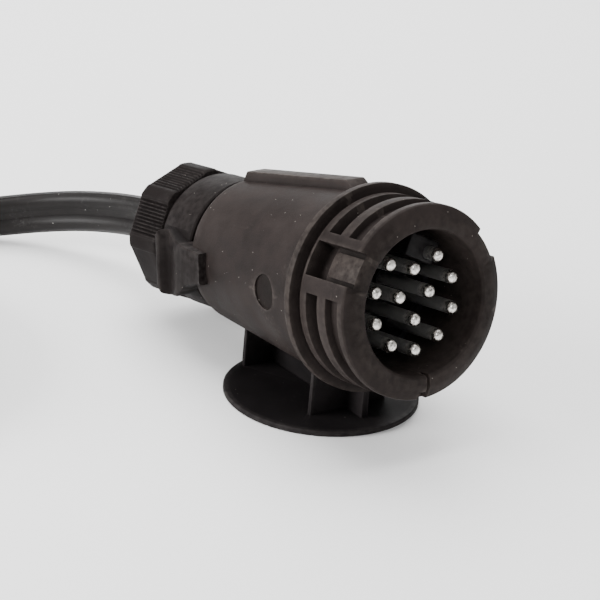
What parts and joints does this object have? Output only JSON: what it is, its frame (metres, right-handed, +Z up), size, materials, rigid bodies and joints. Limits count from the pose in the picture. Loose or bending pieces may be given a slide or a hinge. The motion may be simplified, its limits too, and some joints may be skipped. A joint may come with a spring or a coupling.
{
  "type": "trailer wiring plug",
  "caption": "Round trailer wiring plug: tapered black moulded housing on a disc foot, bayonet collar, pin contacts, cable gland with thumb lugs, and a coiled cable.",
  "frame": {"origin": "centre of the bounding box on the floor under the housing and foot, measured without the cable", "axes": "+X towards the pins, along the floor under the plug's axis, which rises 9.3 degrees towards the pins; +Z up, square to the foot's disc; +Y to the left seen from behind"},
  "size_m": [0.2033, 0.2307, 0.0659],
  "materials": {
    "housing_black": "matte moulded nylon",
    "foot_black": "satin moulded nylon",
    "gland_black": "matte moulded nylon",
    "insert_black": "matte",
    "seal_rubber": "soft rubber",
    "spring_steel": "phosphated",
    "nickel_pin": "nickel-plated brass",
    "cable_jacket": "smooth flexible jacket",
    "tie_black": "hook-and-loop strap",
    "lead_red": "wire insulation",
    "lead_white": "wire insulation",
    "lead_blue": "wire insulation",
    "lead_brown": "wire insulation"
  },
  "bodies": {
    "body": {"housing": "housing_black", "foot": "foot_black", "grip_ring": "gland_black", "insert_clip": "spring_steel", "cable_seal": "seal_rubber", "clamp_ring": "gland_black", "cable_lead": "cable_jacket", "cable_coil": "cable_jacket", "cable_tie": "tie_black"},
    "insert": {"pin_carrier": "insert_black", "terminal_carrier": "insert_black", "insert_seal": "seal_rubber", "contact_pin_01": "nickel_pin", "contact_pin_02": "nickel_pin", "contact_pin_03": "nickel_pin", "contact_pin_04": "nickel_pin", "contact_pin_05": "nickel_pin", "contact_pin_06": "nickel_pin", "contact_pin_07": "nickel_pin", "contact_pin_08": "nickel_pin", "contact_pin_09": "nickel_pin", "contact_pin_10": "nickel_pin", "contact_pin_11": "nickel_pin", "contact_pin_12": "nickel_pin", "contact_pin_13": "nickel_pin", "lead_01": "lead_white", "lead_02": "lead_blue", "lead_03": "lead_brown", "lead_04": "lead_red", "lead_05": "lead_white", "lead_06": "lead_blue", "lead_07": "lead_brown", "lead_08": "lead_red", "lead_09": "lead_white", "lead_10": "lead_blue", "lead_11": "lead_brown", "lead_12": "lead_red", "lead_13": "lead_white"},
    "washer": {"slip_washer": "spring_steel"},
    "nut": {"gland_nut": "gland_black"}
  },
  "joints": [
    {"name": "insert_twist", "type": "hinge", "parent": "body", "child": "insert", "pos_m": [0.02593, 0, 0.03649], "axis": [0.9869, 0, 0.1616], "range_deg": [0, 90]},
    {"name": "nut_travel", "type": "slide", "parent": "body", "child": "washer", "axis": [-0.9869, 0, -0.1616], "range_m": [0, 0.0045]},
    {"name": "nut_turn", "type": "hinge", "parent": "washer", "child": "nut", "pos_m": [-0.04808, 0, 0.02437], "axis": [-0.9869, 0, -0.1616], "range_deg": [0, 1080]}
  ],
  "couplings": [
    {"joint": "nut_travel", "follows": "nut_turn", "m_per_rad": 0.00023873}
  ]
}
